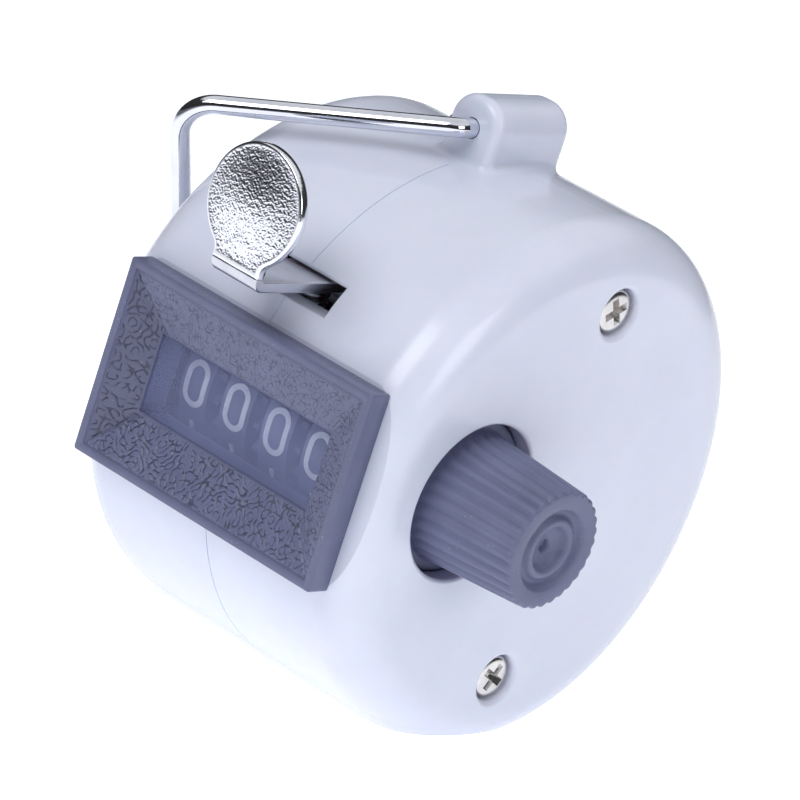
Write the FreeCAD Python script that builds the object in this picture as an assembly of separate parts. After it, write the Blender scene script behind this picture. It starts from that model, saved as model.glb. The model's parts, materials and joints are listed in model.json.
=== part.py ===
# Hand tally counter: a drum-shaped case held in the palm, with a thumb lever,
# four number wheels behind a window, a reset knob and a folding finger ring.
#
# Frame: millimetres, +Z up, the window faces -Y and the reset knob points to +X.
# The origin is the centre of the flat foot under the case.
import FreeCAD, Part
import math
import os

V = FreeCAD.Vector

# ---------------------------------------------------------------- case
FOOT_DEPTH = 1.4            # how much of the drum's underside the foot cuts off
DRUM_HALF_HEIGHT = 21.0
DRUM_FRONT = 21.5           # the drum is half an ellipse in front of its centre
DRUM_REAR = 19.3            # and a shorter half ellipse behind it
DRUM_HALF_WIDTH = 14.86
EDGE_ROUND = 3.8            # rounding where the drum meets its flat ends
WALL = 1.6
SEAM_HALF_W, SEAM_DEPTH = 0.04, 0.06    # fine groove where the two halves meet
HOLE_ROUND = 0.3
AXIS_Z = DRUM_HALF_HEIGHT - FOOT_DEPTH
FOOT_SHARE = math.sqrt(1 - (AXIS_Z / DRUM_HALF_HEIGHT) ** 2)
DRUM_Y = (DRUM_FRONT - DRUM_REAR) * FOOT_SHARE / 2      # puts the foot's middle at y = 0
WINDOW_FACE_Y = DRUM_Y - 21.9           # front of the bezel
BEZEL_PROUD = 2.0           # how far the bezel stands off the case
FRONT_Y = WINDOW_FACE_Y + BEZEL_PROUD   # flat that the bezel sits on

# ---------------------------------------------------------------- window
BEZEL_W, BEZEL_H = 25.0, 15.3
BEZEL_CORNER = 0.2
BEZEL_RIM = 0.7
BEZEL_RIM_STEP = 0.15       # the sloped faces start just below the rim
OPENING_W, OPENING_H = 17.6, 6.1
SLOPE_DEPTH = 1.5
NECK_WALL = 1.2             # the bezel's neck passes through the case
NECK_BACK = 4.5             # depths behind the bezel's front
LENS_FRONT = 1.7
LENS_THICK = 0.8
LENS_EDGE = 0.2             # the lens sits in a rebate this wide

# ---------------------------------------------------------------- number wheels
WHEEL_Y = WINDOW_FACE_Y + 12.0
WHEEL_R = 7.1
WHEEL_PITCH = 4.28
UNITS_X = 5.6               # centre of the units wheel's rim
RIM_W = 2.9
RIM_INNER_R = 4.9
WEB_W = 1.0
HUB_R = 2.4
SHAFT_R = 1.25
RUNNING = 0.05              # radial clearance of a running fit
BORE_R = SHAFT_R + RUNNING
GEAR_TEETH, PINION_TEETH = 20, 8
MODULE = 0.6
GEAR_W = 0.6
GEAR_PITCH_R = GEAR_TEETH * MODULE / 2
PINION_PITCH_R = PINION_TEETH * MODULE / 2
ADDENDUM, DEDENDUM = 0.42, 0.62
CARRY_W = 0.45
CARRY_R, CARRY_TIP_R = 4.6, 5.3
PINION_ANGLE = -45.0        # seen along +X, below and behind the wheels
PINION_SHAFT_R = 0.8
RATCHET_TEETH = 10
RATCHET_TIP_R, RATCHET_ROOT_R = 2.7, 2.05
RATCHET_X0, RATCHET_X1 = 7.35, 8.35
WHEEL_NAMES = ("units", "tens", "hundreds", "thousands")

# ---------------------------------------------------------------- reset knob
KNOB_HOLE_R = 6.12
KNOB_FLANGE_R = 5.9
KNOB_FLANGE_X0, KNOB_FLANGE_X1 = 11.4, 13.45
KNOB_TIP_X = 22.9
KNOB_BASE_R, KNOB_TIP_R = 5.2, 4.62
KNOB_RIBS = 30
KNOB_RIB_DEPTH = 0.24
SHAFT_X0, SHAFT_X1 = -13.7, 19.0
KEYWAY_W, KEYWAY_DEPTH = 0.7, 0.4

# ---------------------------------------------------------------- inner frame
PLATE = 0.8
PLATE_LEFT_X = -11.6        # left face of the left plate
PLATE_RIGHT_X = 10.0        # left face of the right plate
TIE_R = 1.0
REAR_TIE_R = 1.9            # heavy, so the counter's weight falls over its foot
TIES = ((WHEEL_Y + 12.5, AXIS_Z + 6.6, TIE_R), (WHEEL_Y - 5.0, AXIS_Z - 8.4, TIE_R),    # y, z, radius
        (WHEEL_Y + 21.0, AXIS_Z + 6.5, REAR_TIE_R), (WHEEL_Y + 21.0, AXIS_Z - 6.5, REAR_TIE_R))

# ---------------------------------------------------------------- thumb lever
STRIP = 0.85                # thickness of the lever's steel strip
ARM_HALF_W = 2.3
ARM_Z = AXIS_Z + 11.45      # middle of the strip
ELBOW_Y = WINDOW_FACE_Y - 3.7
PADDLE_R = 4.5
PADDLE_Z = AXIS_Z + 16.85
PIVOT_Y = WINDOW_FACE_Y + 8.9
PIVOT_Z = AXIS_Z + 9.95
PIVOT_R = 0.9
YOKE_HALF_W = 9.4
SLOT_HALF_W = 3.8
SLOT_LOW, SLOT_HIGH = 9.8, 12.0        # heights above the axis
SLOT_ROUND = 0.2
BRIDGE_Y0, BRIDGE_Y1 = WINDOW_FACE_Y + 4.6, WINDOW_FACE_Y + 7.0
BRIDGE_Z = AXIS_Z + 7.5
SPRING_Y = WINDOW_FACE_Y + 5.8
SPRING_COIL_R = 1.0
SPRING_WIRE_R = 0.2
SPRING_TURNS = 4.0
PAWL_PIN_Y, PAWL_PIN_Z = WINDOW_FACE_Y + 8.9, AXIS_Z + 5.6
PAWL_PIN_R = 0.6

# ---------------------------------------------------------------- finger ring
WIRE_R = 0.75
LUG_Y = WINDOW_FACE_Y + 21.6
LUG_HALF_W = 2.5
LUG_HALF_L = 4.25
LUG_TOP = 25.6              # above the axis
LUG_BASE_ROUND = 0.7
HINGE_Z = AXIS_Z + 23.1
RING_CORNER = (-17.3, 16.1, 17.9)       # x, distance from the lug's middle, height above the axis
RING_BOTTOM = (-17.3, 9.1, 2.2)

# ---------------------------------------------------------------- screws
SCREW_Y = WINDOW_FACE_Y + 21.75
SCREW_RISE = 14.7
SCREW_HEAD_R, SCREW_SHANK_R = 1.67, 1.0
COUNTERBORE_R, COUNTERBORE_DEPTH = 1.9, 1.45
COUNTERBORE_ROUND = 0.45       # at the counterbore's mouth
SCREW_HEAD_H = 1.1
SCREW_X0 = -7.0


# ---------------------------------------------------------------- helpers
def box(x0, x1, y0, y1, z0, z1):
    return Part.makeBox(x1 - x0, y1 - y0, z1 - z0, V(x0, y0, z0))


def rod_x(r, x0, x1, y, z):
    return Part.makeCylinder(r, x1 - x0, V(x0, y, z), V(1, 0, 0))


def rod_y(r, y0, y1, x, z):
    return Part.makeCylinder(r, y1 - y0, V(x, y0, z), V(0, 1, 0))


def tube_x(outer, inner, x0, x1, y, z):
    return rod_x(outer, x0, x1, y, z).cut(rod_x(inner, x0 - 1, x1 + 1, y, z))


def prism_x(points, x0, x1):
    """A closed outline of (y, z) points, extruded along X."""
    loop = [V(x0, y, z) for y, z in points]
    return Part.Face(Part.makePolygon(loop + loop[:1])).extrude(V(x1 - x0, 0, 0))


def polar(y, z, r, degrees):
    a = math.radians(degrees)
    return (y + r * math.cos(a), z + r * math.sin(a))


def rounded_path(points, radii):
    """Straight runs through the points, joined by tangent arcs of the given radii."""
    edges = []
    start = points[0]
    for before, corner, after, r in zip(points, points[1:], points[2:], radii):
        into = (corner - before).normalize()
        out = (after - corner).normalize()
        half = into.getAngle(out) / 2
        reach = r * math.tan(half)
        p, q = corner - into * reach, corner + out * reach
        inward = (out - into).normalize()
        middle = corner + inward * (r / math.cos(half) - r)
        edges.append(Part.LineSegment(start, p).toShape())
        edges.append(Part.Arc(p, middle, q).toShape())
        start = q
    edges.append(Part.LineSegment(start, points[-1]).toShape())
    return Part.Wire(edges)


def wire_rod(path, r):
    first = path.Edges[0]
    start = first.valueAt(first.FirstParameter)
    along = first.tangentAt(first.FirstParameter)
    section = Part.Wire(Part.makeCircle(r, start, along))
    return path.makePipeShell([section], True, False)


def toothed(teeth, root_r, tip_r, root_share, tip_share, phase, x0, x1, y, z):
    """A gear: tooth widths are shares of the tooth pitch, phase turns the first tooth."""
    points = []
    pitch = 360.0 / teeth
    for k in range(teeth):
        middle = phase + k * pitch
        for r, side in ((root_r, -root_share), (tip_r, -tip_share), (tip_r, tip_share), (root_r, root_share)):
            points.append(polar(y, z, r, middle + side * pitch / 2))
    return prism_x(points, x0, x1)


# ---------------------------------------------------------------- case
def drum(inset):
    """The drum, with its outline and ends moved inward by inset."""
    a_front, a_rear = DRUM_FRONT - inset, DRUM_REAR - inset
    height, half_w = DRUM_HALF_HEIGHT - inset, DRUM_HALF_WIDTH - inset
    centre = V(-half_w, DRUM_Y, AXIS_Z)
    top, bottom = centre + V(0, 0, height), centre - V(0, 0, height)

    def half(reach, side):
        tip = centre + V(0, side * reach, 0)
        if reach >= height:
            curve = Part.Ellipse(tip, top, centre)
        else:
            curve = Part.Ellipse(top, tip, centre)
        a, b = curve.parameter(top), curve.parameter(bottom)
        for low, high in ((a, b), (b, a)):
            edge = curve.toShape(low, high if high > low else high + 2 * math.pi)
            if (edge.valueAt((edge.FirstParameter + edge.LastParameter) / 2) - tip).Length < 0.1:
                return edge
        raise ValueError("no half ellipse")

    face = Part.Face(Part.Wire(Part.sortEdges([half(a_front, -1), half(a_rear, 1)])[0]))
    solid = face.extrude(V(2 * half_w, 0, 0))
    ends = [e for e in solid.Edges if abs(abs(e.CenterOfMass.x) - half_w) < 0.01]
    solid = solid.makeFillet(EDGE_ROUND - inset, ends)
    solid = solid.cut(box(-20, 20, -40, FRONT_Y + inset, -10, 60))
    return solid.cut(box(-20, 20, -40, 40, -10, inset))


def lug():
    """The block on top that carries the finger ring."""
    low, high = AXIS_Z + 19.0, AXIS_Z + LUG_TOP
    block = box(-LUG_HALF_W, LUG_HALF_W, LUG_Y - LUG_HALF_L, LUG_Y + LUG_HALF_L, low, high)

    def along(e, axis):
        a, b = e.Vertexes[0].Point, e.Vertexes[-1].Point
        d = b - a
        return abs(abs(getattr(d, axis)) - d.Length) < 1e-6

    top_sides = [e for e in block.Edges if along(e, "y") and e.CenterOfMass.z > high - 0.1]
    block = block.makeFillet(2.2, top_sides)
    rear = [e for e in block.Edges if e.CenterOfMass.y > LUG_Y + LUG_HALF_L - 0.05
            and e.CenterOfMass.z > low + 0.1]
    block = block.makeFillet(0.9, rear)
    front = [e for e in block.Edges if e.CenterOfMass.y < LUG_Y - LUG_HALF_L + 0.05
             and e.CenterOfMass.z > low + 0.1]
    return block.makeFillet(0.8, front)


def ring_bore():
    return rod_y(WIRE_R + RUNNING, LUG_Y - 6, LUG_Y + 6, 0, HINGE_Z)


def front_openings():
    """Cuts through the front wall: the window and the lever's slot."""
    gap = 0.1
    half_w = OPENING_W / 2 + NECK_WALL + gap
    half_h = OPENING_H / 2 + NECK_WALL + gap
    window = box(-half_w, half_w, -30, WHEEL_Y, AXIS_Z - half_h, AXIS_Z + half_h)
    slot = box(-SLOT_HALF_W, SLOT_HALF_W, -30, WHEEL_Y, AXIS_Z + SLOT_LOW, AXIS_Z + SLOT_HIGH)
    return window.fuse(slot)


def case_shell():
    """Both halves in one: the hollow drum with its lug, openings and the seam's groove."""
    outer = drum(0).fuse(lug()).removeSplitter()
    reach, low = LUG_HALF_L + 0.2, AXIS_Z + 19.5
    base = [e for e in outer.Edges if abs(e.CenterOfMass.x) < LUG_HALF_W + 0.2
            and abs(e.CenterOfMass.y - LUG_Y) < reach and low < e.CenterOfMass.z < AXIS_Z + 21.2]
    outer = outer.makeFillet(LUG_BASE_ROUND, base)
    groove = drum(0).cut(drum(SEAM_DEPTH)).common(box(-SEAM_HALF_W, SEAM_HALF_W, -40, 40, -10, 60))
    groove = groove.cut(box(-3, 3, LUG_Y - reach - 1, LUG_Y + reach + 1, AXIS_Z, 60))
    return outer.cut(drum(WALL)).cut(front_openings()).cut(ring_bore()).cut(groove)


def screw_places():
    return [(SCREW_Y, AXIS_Z + side * SCREW_RISE) for side in (1, -1)]


def housing_half(side):
    """side is -1 for the left half and +1 for the right half, with the knob."""
    inner_wall = DRUM_HALF_WIDTH - WALL
    half = case_shell().common(box(0, 30, -40, 40, -10, 60) if side > 0 else box(-30, 0, -40, 40, -10, 60))
    extras = []
    for y, z in screw_places():
        reach = sorted((0, side * (inner_wall + 0.3)))
        extras.append(rod_x(3.0 if side > 0 else 2.4, reach[0], reach[1], y, z))
    plate_face = PLATE_RIGHT_X + PLATE if side > 0 else PLATE_LEFT_X
    for y, z, r in TIES:
        reach = sorted((plate_face + side * 0.1, side * (inner_wall + 0.3)))
        extras.append(rod_x(r + 1.0, reach[0], reach[1], y, z))
    if side < 0:
        extras.append(rod_x(2.8, -inner_wall - 0.3, -12.1, WHEEL_Y, AXIS_Z))
    half = half.fuse(extras)
    for y, z, r in TIES:
        end = sorted((side * 12.9, plate_face))
        half = half.cut(rod_x(r + RUNNING, end[0], end[1], y, z))
    if side < 0:
        half = half.cut(rod_x(BORE_R, -14.0, -12, WHEEL_Y, AXIS_Z))
        for y, z in screw_places():
            half = half.cut(rod_x(SCREW_SHANK_R, SCREW_X0 - 1, 1, y, z))
    else:
        half = half.cut(rod_x(KNOB_HOLE_R, 12, 20, WHEEL_Y, AXIS_Z))
        for y, z in screw_places():
            half = half.cut(rod_x(COUNTERBORE_R, DRUM_HALF_WIDTH - COUNTERBORE_DEPTH, 20, y, z))
            half = half.cut(rod_x(SCREW_SHANK_R + 0.15, -1, 20, y, z))
        for r, rounding in ((KNOB_HOLE_R, HOLE_ROUND), (COUNTERBORE_R, COUNTERBORE_ROUND)):
            mouths = [e for e in half.Edges if e.Closed and abs(e.CenterOfMass.x - DRUM_HALF_WIDTH) < 0.01
                      and abs(e.Length - 2 * math.pi * r) < 0.1]
            half = half.makeFillet(rounding, mouths)
    half = half.removeSplitter()
    slot_edges = [e for e in half.Edges if slot_mouth(e)]
    return half.makeFillet(SLOT_ROUND, slot_edges)


def slot_mouth(e):
    """Whether an edge lies on the outer mouth of the lever's slot."""
    c = e.CenterOfMass
    rise = c.z - AXIS_Z
    if not SLOT_LOW - 0.1 < rise < SLOT_HIGH + 0.1 or abs(c.x) > SLOT_HALF_W + 0.1:
        return False
    surface_y = DRUM_Y - DRUM_FRONT * math.sqrt(1 - (rise / DRUM_HALF_HEIGHT) ** 2)
    return abs(c.y - surface_y) < 0.1 and e.Length > 0.5


def screw(y, z):
    under = DRUM_HALF_WIDTH - COUNTERBORE_DEPTH
    top = under + SCREW_HEAD_H
    head = rod_x(SCREW_HEAD_R, under, top, y, z)
    head = head.makeFillet(0.45, [e for e in head.Edges if e.CenterOfMass.x > top - 0.01 and e.Closed])
    shank = rod_x(SCREW_SHANK_R, SCREW_X0, under, y, z)
    body = head.fuse(shank)
    arm, half = 1.05, 0.24
    for dy, dz in ((arm, half), (half, arm)):
        body = body.cut(box(top - 0.7, top + 1, y - dy, y + dy, z - dz, z + dz))
    return body


# ---------------------------------------------------------------- window
def window_bezel():
    f = WINDOW_FACE_Y
    plate = box(-BEZEL_W / 2, BEZEL_W / 2, f, FRONT_Y, AXIS_Z - BEZEL_H / 2, AXIS_Z + BEZEL_H / 2)
    uprights = [e for e in plate.Edges if abs(e.Vertexes[0].Point.y - e.Vertexes[-1].Point.y) > 1]
    plate = plate.makeFillet(BEZEL_CORNER, uprights)
    nw, nh = OPENING_W / 2 + NECK_WALL, OPENING_H / 2 + NECK_WALL
    neck = box(-nw, nw, FRONT_Y, f + NECK_BACK, AXIS_Z - nh, AXIS_Z + nh)

    def frame_loop(w, h, y):
        pts = [V(sx * w / 2, y, AXIS_Z + sz * h / 2) for sx, sz in ((-1, -1), (1, -1), (1, 1), (-1, 1))]
        return Part.makePolygon(pts + pts[:1])

    rim_w, rim_h = BEZEL_W - 2 * BEZEL_RIM, BEZEL_H - 2 * BEZEL_RIM
    step = box(-rim_w / 2, rim_w / 2, f - 1, f + BEZEL_RIM_STEP, AXIS_Z - rim_h / 2, AXIS_Z + rim_h / 2)
    funnel = Part.makeLoft([frame_loop(rim_w, rim_h, f + BEZEL_RIM_STEP),
                            frame_loop(OPENING_W, OPENING_H, f + SLOPE_DEPTH)], True, True)
    hole = box(-OPENING_W / 2, OPENING_W / 2, f - 1, f + 9, AXIS_Z - OPENING_H / 2, AXIS_Z + OPENING_H / 2)
    lw, lh = OPENING_W / 2 + LENS_EDGE, OPENING_H / 2 + LENS_EDGE
    rebate = box(-lw, lw, f + LENS_FRONT, f + 9, AXIS_Z - lh, AXIS_Z + lh)
    return plate.fuse(neck).cut(step).cut(funnel).cut(hole).cut(rebate).removeSplitter()


def window_lens():
    lw, lh = OPENING_W / 2 + LENS_EDGE, OPENING_H / 2 + LENS_EDGE
    y0 = WINDOW_FACE_Y + LENS_FRONT
    return box(-lw, lw, y0, y0 + LENS_THICK, AXIS_Z - lh, AXIS_Z + lh)


# ---------------------------------------------------------------- wheels
def wheel_x(index):
    return UNITS_X - index * WHEEL_PITCH


def number_wheel(index):
    x = wheel_x(index)
    half = RIM_W / 2
    body = tube_x(WHEEL_R, RIM_INNER_R, x - half, x + half, WHEEL_Y, AXIS_Z)
    body = body.fuse(rod_x(RIM_INNER_R, x - WEB_W / 2, x + WEB_W / 2, WHEEL_Y, AXIS_Z))
    body = body.fuse(rod_x(HUB_R, x - half, x + half, WHEEL_Y, AXIS_Z))
    if index > 0:
        gear = toothed(GEAR_TEETH, GEAR_PITCH_R - DEDENDUM, GEAR_PITCH_R + ADDENDUM, 0.62, 0.22,
                       PINION_ANGLE, x + half, x + half + GEAR_W, WHEEL_Y, AXIS_Z)
        body = body.fuse(gear.cut(rod_x(4.3, x, x + 4, WHEEL_Y, AXIS_Z)))
    if index < len(WHEEL_NAMES) - 1:
        x0, x1 = x - half - CARRY_W, x - half
        ring = toothed(2, CARRY_R, CARRY_TIP_R, 0.06, 0.04, 0, x0, x1, WHEEL_Y, AXIS_Z)
        ring = ring.common(box(x0, x1, WHEEL_Y, WHEEL_Y + 9, AXIS_Z - 9, AXIS_Z + 9))
        ring = ring.fuse(rod_x(CARRY_R + 0.1, x0, x1, WHEEL_Y, AXIS_Z))
        body = body.fuse(ring.cut(rod_x(3.6, x0 - 1, x1 + 1, WHEEL_Y, AXIS_Z)))
        body = body.fuse(tube_x(RIM_INNER_R + 0.2, 3.6, x1, x1 + 0.5, WHEEL_Y, AXIS_Z))
    return body.cut(rod_x(BORE_R, x - 4, x + 4, WHEEL_Y, AXIS_Z)).removeSplitter()


def ratchet_wheel():
    points = []
    pitch = 360.0 / RATCHET_TEETH
    for k in range(RATCHET_TEETH):
        points.append(polar(WHEEL_Y, AXIS_Z, RATCHET_TIP_R, 90 + k * pitch))
        points.append(polar(WHEEL_Y, AXIS_Z, RATCHET_ROOT_R, 90 + k * pitch + 5))
    disc = prism_x(points, RATCHET_X0, RATCHET_X1)
    hub = rod_x(RATCHET_ROOT_R - 0.1, UNITS_X + RIM_W / 2, RATCHET_X1 + 0.3, WHEEL_Y, AXIS_Z)
    return disc.fuse(hub).cut(rod_x(BORE_R, 5, 11, WHEEL_Y, AXIS_Z)).removeSplitter()


def pinion_place():
    return polar(WHEEL_Y, AXIS_Z, GEAR_PITCH_R + PINION_PITCH_R, PINION_ANGLE)


def transfer_pinion(index):
    """The pinion beside wheel number index, which the wheel before it would turn."""
    gap_low = wheel_x(index) + RIM_W / 2
    gap_high = wheel_x(index - 1) - RIM_W / 2
    y, z = pinion_place()
    phase = PINION_ANGLE + 180 + 180.0 / PINION_TEETH
    root, tip = PINION_PITCH_R - DEDENDUM, PINION_PITCH_R + ADDENDUM
    full = toothed(PINION_TEETH, root, tip, 0.6, 0.2, phase, gap_low + 0.1, gap_high - 0.62, y, z)
    lock = toothed(PINION_TEETH // 2, root, tip, 0.3, 0.1, phase, gap_high - 0.62, gap_high - 0.1, y, z)
    return full.fuse(lock).cut(rod_x(PINION_SHAFT_R + RUNNING, gap_low - 1, gap_high + 1, y, z))


# ---------------------------------------------------------------- shaft and knob
def wheel_shaft():
    shaft = rod_x(SHAFT_R, SHAFT_X0, SHAFT_X1, WHEEL_Y, AXIS_Z)
    low = AXIS_Z - SHAFT_R
    keyway = box(-9.2, 8.4, WHEEL_Y - KEYWAY_W / 2, WHEEL_Y + KEYWAY_W / 2, low - 1, low + KEYWAY_DEPTH)
    groove = tube_x(SHAFT_R + 1, SHAFT_R - 0.3, -10.4, -9.9, WHEEL_Y, AXIS_Z)
    return shaft.cut(keyway).cut(groove)


def shaft_clip():
    """An open spring clip in the shaft's groove."""
    ring = tube_x(2.5, SHAFT_R - 0.3, -10.4, -9.9, WHEEL_Y, AXIS_Z)
    mouth = box(-11, -9, WHEEL_Y - 0.75, WHEEL_Y + 0.75, AXIS_Z - 4, AXIS_Z)
    return ring.cut(mouth)


def wheel_spacer():
    return tube_x(2.0, BORE_R, -9.8, -8.8, WHEEL_Y, AXIS_Z)


def drag_washer():
    """The thin washer between the frame and the knob, which holds the knob still."""
    return tube_x(3.2, BORE_R + 0.05, PLATE_RIGHT_X + PLATE, KNOB_FLANGE_X0 - 0.05, WHEEL_Y, AXIS_Z)


def ribbed_loop(x, r):
    points = []
    pitch = 360.0 / KNOB_RIBS
    for k in range(KNOB_RIBS):
        for radius, share in ((r - KNOB_RIB_DEPTH, -0.36), (r, -0.2), (r, 0.2), (r - KNOB_RIB_DEPTH, 0.36)):
            y, z = polar(WHEEL_Y, AXIS_Z, radius, (k + share) * pitch)
            points.append(V(x, y, z))
    return Part.makePolygon(points + points[:1])


def reset_knob():
    flange = rod_x(KNOB_FLANGE_R, KNOB_FLANGE_X0, KNOB_FLANGE_X1, WHEEL_Y, AXIS_Z)
    rim = [e for e in flange.Edges if e.Closed and e.CenterOfMass.x > KNOB_FLANGE_X1 - 0.01]
    flange = flange.makeFillet(0.25, rim)
    ends = [ribbed_loop(KNOB_FLANGE_X1, KNOB_BASE_R), ribbed_loop(KNOB_TIP_X, KNOB_TIP_R)]
    grip = Part.makeLoft(ends, True, True)
    knob = flange.fuse(grip)
    knob = knob.cut(tube_x(3.1, 2.3, KNOB_TIP_X - 1.3, KNOB_TIP_X + 1, WHEEL_Y, AXIS_Z))
    knob = knob.cut(rod_x(3.0, KNOB_TIP_X - 0.25, KNOB_TIP_X + 1, WHEEL_Y, AXIS_Z))
    knob = knob.cut(rod_x(1.5, KNOB_TIP_X - 1.0, KNOB_TIP_X + 1, WHEEL_Y, AXIS_Z))
    knob = knob.cut(rod_x(0.45, KNOB_TIP_X - 1.4, KNOB_TIP_X + 1, WHEEL_Y, AXIS_Z))
    return knob.cut(rod_x(SHAFT_R, KNOB_FLANGE_X0 - 1, SHAFT_X1, WHEEL_Y, AXIS_Z))


# ---------------------------------------------------------------- inner frame
def hull_outline(circles):
    """The convex outline around circles of (y, z, r), as a many-sided polygon."""
    points = []
    for y, z, r in circles:
        for k in range(24):
            points.append(polar(y, z, r, k * 15))
    points = sorted(set(points))

    def chain(sequence):
        out = []
        for p in sequence:
            while len(out) > 1 and ((out[-1][0] - out[-2][0]) * (p[1] - out[-2][1])
                                    - (out[-1][1] - out[-2][1]) * (p[0] - out[-2][0])) <= 1e-9:
                out.pop()
            out.append(p)
        return out[:-1]

    return chain(points) + chain(points[::-1])


def frame_plate(x0):
    py, pz = pinion_place()
    circles = [(y, z, r + 0.9) for y, z, r in TIES] + [(PIVOT_Y, PIVOT_Z, 2.0), (py, pz, 2.0)]
    plate = prism_x(hull_outline(circles), x0, x0 + PLATE)
    holes = [(r, y, z) for y, z, r in TIES]
    holes += [(PIVOT_R, PIVOT_Y, PIVOT_Z), (PINION_SHAFT_R, py, pz), (BORE_R, WHEEL_Y, AXIS_Z)]
    for r, y, z in holes:
        plate = plate.cut(rod_x(r, x0 - 1, x0 + PLATE + 1, y, z))
    for dy, dz in ((4.5, 4.6), (7.0, 0.0), (1.0, -6.0), (-2.8, 3.6)):
        plate = plate.cut(rod_x(1.7, x0 - 1, x0 + PLATE + 1, WHEEL_Y + dy, AXIS_Z + dz))
    return plate


def tie_rods():
    return [rod_x(r, -12.8, 12.8, y, z) for y, z, r in TIES]


def frame_bridge():
    """A strap between the plates that the lever's spring stands on."""
    top = BRIDGE_Z + PLATE
    strap = box(PLATE_LEFT_X + PLATE, PLATE_RIGHT_X, BRIDGE_Y0, BRIDGE_Y1, BRIDGE_Z, top)
    pip = Part.makeCylinder(0.7, 0.6, V(0, SPRING_Y, top))
    return strap.fuse(pip)


def pinion_shaft():
    y, z = pinion_place()
    return rod_x(PINION_SHAFT_R, PLATE_LEFT_X, PLATE_RIGHT_X + PLATE, y, z)


def lever_pivot_pin():
    return rod_x(PIVOT_R, PLATE_LEFT_X - 0.2, PLATE_RIGHT_X + PLATE + 0.2, PIVOT_Y, PIVOT_Z)


def detent_spring():
    """A leaf spring on a tie rod whose nose lies against the ratchet teeth."""
    y, z, _ = TIES[0]
    eye = tube_x(TIE_R + 0.45, TIE_R, RATCHET_X0 + 0.1, RATCHET_X1 - 0.1, y, z)
    tip_y, tip_z = polar(WHEEL_Y, AXIS_Z, RATCHET_TIP_R + 0.45, 38)
    t = 0.3
    leaf = prism_x([(y - 0.9, z - 1.3), (tip_y, tip_z), (tip_y - t, tip_z + t), (y - 1.1, z - 0.6)],
                   RATCHET_X0 + 0.1, RATCHET_X1 - 0.1)
    return eye.fuse(leaf).cut(rod_x(TIE_R, 0, 12, y, z))


# ---------------------------------------------------------------- lever
def thumb_lever():
    low, high = ARM_Z - STRIP / 2, ARM_Z + STRIP / 2
    yoke_y0, yoke_y1 = PIVOT_Y - 1.6, PIVOT_Y + 3.2
    arm = box(-ARM_HALF_W, ARM_HALF_W, ELBOW_Y, yoke_y0 + 0.5, low, high)
    yoke = box(-YOKE_HALF_W, YOKE_HALF_W, yoke_y0, yoke_y1, low, high)

    def ear(x0, circles):
        plate = prism_x(hull_outline(circles), x0, x0 + STRIP)
        return plate.cut(rod_x(PIVOT_R + RUNNING, x0 - 1, x0 + 2, PIVOT_Y, PIVOT_Z))

    top = (PIVOT_Y, ARM_Z - 1.4, 1.6)
    left = ear(-YOKE_HALF_W, [top, (PIVOT_Y, PIVOT_Z, 1.7)])
    right = ear(YOKE_HALF_W - STRIP, [top, (PIVOT_Y, PIVOT_Z, 1.7), (PAWL_PIN_Y, PAWL_PIN_Z, 1.1)])
    right = right.cut(rod_x(PAWL_PIN_R, 7, 11, PAWL_PIN_Y, PAWL_PIN_Z))
    level = box(-20, 20, -40, 40, high, high + 5)
    y0, y1 = ELBOW_Y, ELBOW_Y + STRIP
    disc = rod_y(PADDLE_R, y0, y1, 0, PADDLE_Z)
    neck = box(-ARM_HALF_W, ARM_HALF_W, y0, y1, low, PADDLE_Z - 2.5)
    lever = arm.fuse([yoke, left.cut(level), right.cut(level), disc, neck])
    return lever.removeSplitter()


def lever_return_spring():
    base = BRIDGE_Z + PLATE
    height = ARM_Z - STRIP / 2 - base
    wire_h = height - 2 * SPRING_WIRE_R
    helix = Part.makeHelix(wire_h / SPRING_TURNS, wire_h, SPRING_COIL_R)
    helix.translate(V(0, SPRING_Y, base + SPRING_WIRE_R))
    start = helix.Edges[0].valueAt(helix.Edges[0].FirstParameter)
    along = helix.Edges[0].tangentAt(helix.Edges[0].FirstParameter)
    section = Part.Wire(Part.makeCircle(SPRING_WIRE_R, start, along))
    return Part.Wire(helix).makePipeShell([section], True, True)


def pawl_pin():
    return rod_x(PAWL_PIN_R, RATCHET_X0 - 0.05, YOKE_HALF_W, PAWL_PIN_Y, PAWL_PIN_Z)


def drive_pawl():
    """It hangs on its pin and pushes the top of the ratchet to the rear."""
    x0, x1 = RATCHET_X0 + 0.1, RATCHET_X1
    tip_y, tip_z = WHEEL_Y - 0.7, AXIS_Z + RATCHET_TIP_R + 0.45
    shape = [(tip_y, tip_z), (tip_y, tip_z + 0.45), (PAWL_PIN_Y + 0.9, PAWL_PIN_Z + 0.5),
             (PAWL_PIN_Y - 0.2, PAWL_PIN_Z - 1.05)]
    blade = prism_x(shape, x0, x1)
    boss = rod_x(1.15, x0, x1, PAWL_PIN_Y, PAWL_PIN_Z)
    return blade.fuse(boss).cut(rod_x(PAWL_PIN_R + RUNNING, x0 - 1, x1 + 1, PAWL_PIN_Y, PAWL_PIN_Z))


def pawl_spring():
    """A thin leaf from the lever's ear that leans on the back of the pawl."""
    x1 = YOKE_HALF_W - STRIP
    return prism_x([(PIVOT_Y + 1.0, ARM_Z - STRIP / 2), (PIVOT_Y + 1.2, ARM_Z - STRIP / 2),
                    (PAWL_PIN_Y + 1.6, PAWL_PIN_Z + 0.6), (PAWL_PIN_Y + 1.4, PAWL_PIN_Z + 0.6)],
                   RATCHET_X0 + 0.2, x1 - 0.2)


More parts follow.
